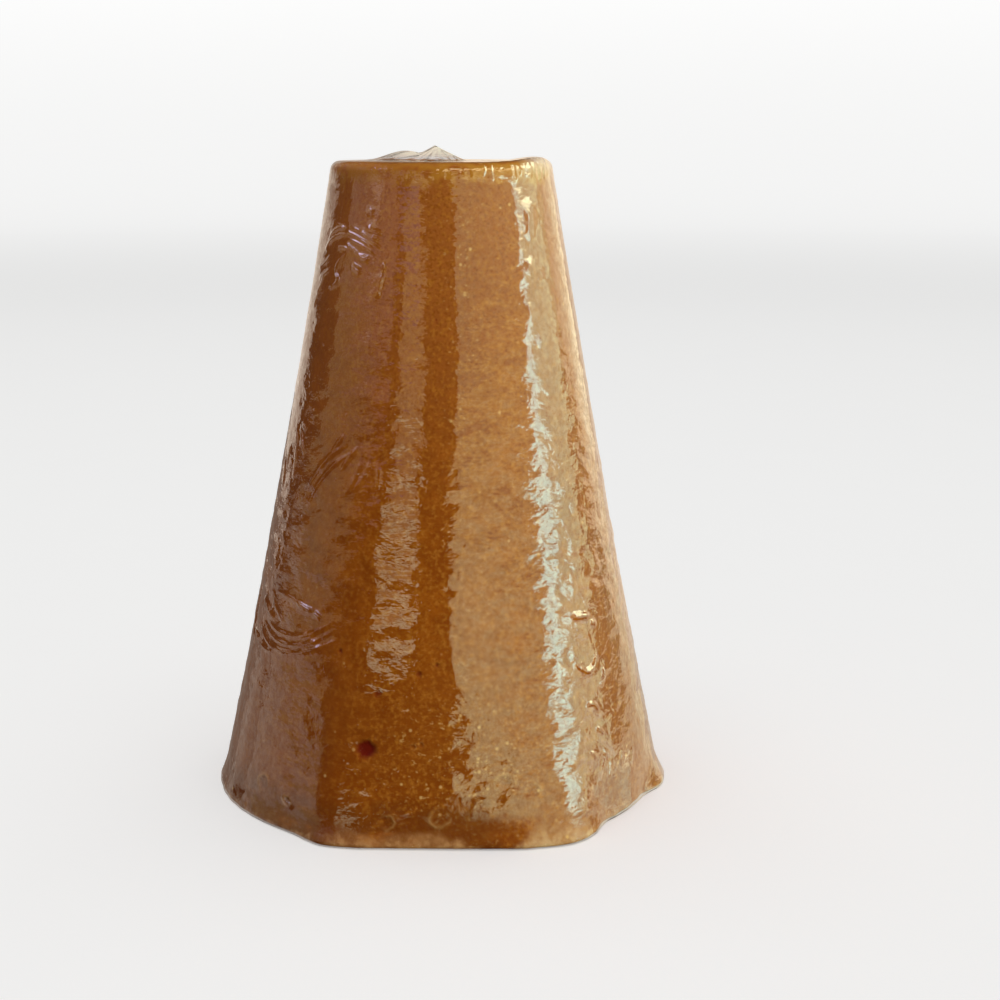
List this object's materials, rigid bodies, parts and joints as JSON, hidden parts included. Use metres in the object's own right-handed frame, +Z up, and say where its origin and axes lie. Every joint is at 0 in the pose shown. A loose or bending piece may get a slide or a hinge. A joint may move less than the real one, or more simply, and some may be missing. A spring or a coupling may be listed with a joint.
{
  "type": "piloncillo sugar cone",
  "caption": "Truncated cone of unrefined brown cane sugar, shrunk tight into clear film with a gathered peak on top; stands on its flat base and is grated or melted in cooking.",
  "frame": {"origin": "middle of the flat base, where the cone's axis meets the surface it stands on", "axes": "+Z up the cone's axis to the narrow top, -Y out of the front with the flattened side of the foot, +X to the right of that front, towards the chipped corner"},
  "size_m": [0.0657, 0.0637, 0.0917],
  "materials": {
    "sugar": "hard, fine-grained raw brown sugar with small pits and bubbles, seen through the film",
    "film": "clear glossy shrink film with swirled puckers, pleats and a milky gathered peak"
  },
  "bodies": {
    "root": {"wrapped_cone": "sugar"}
  },
  "joints": []
}
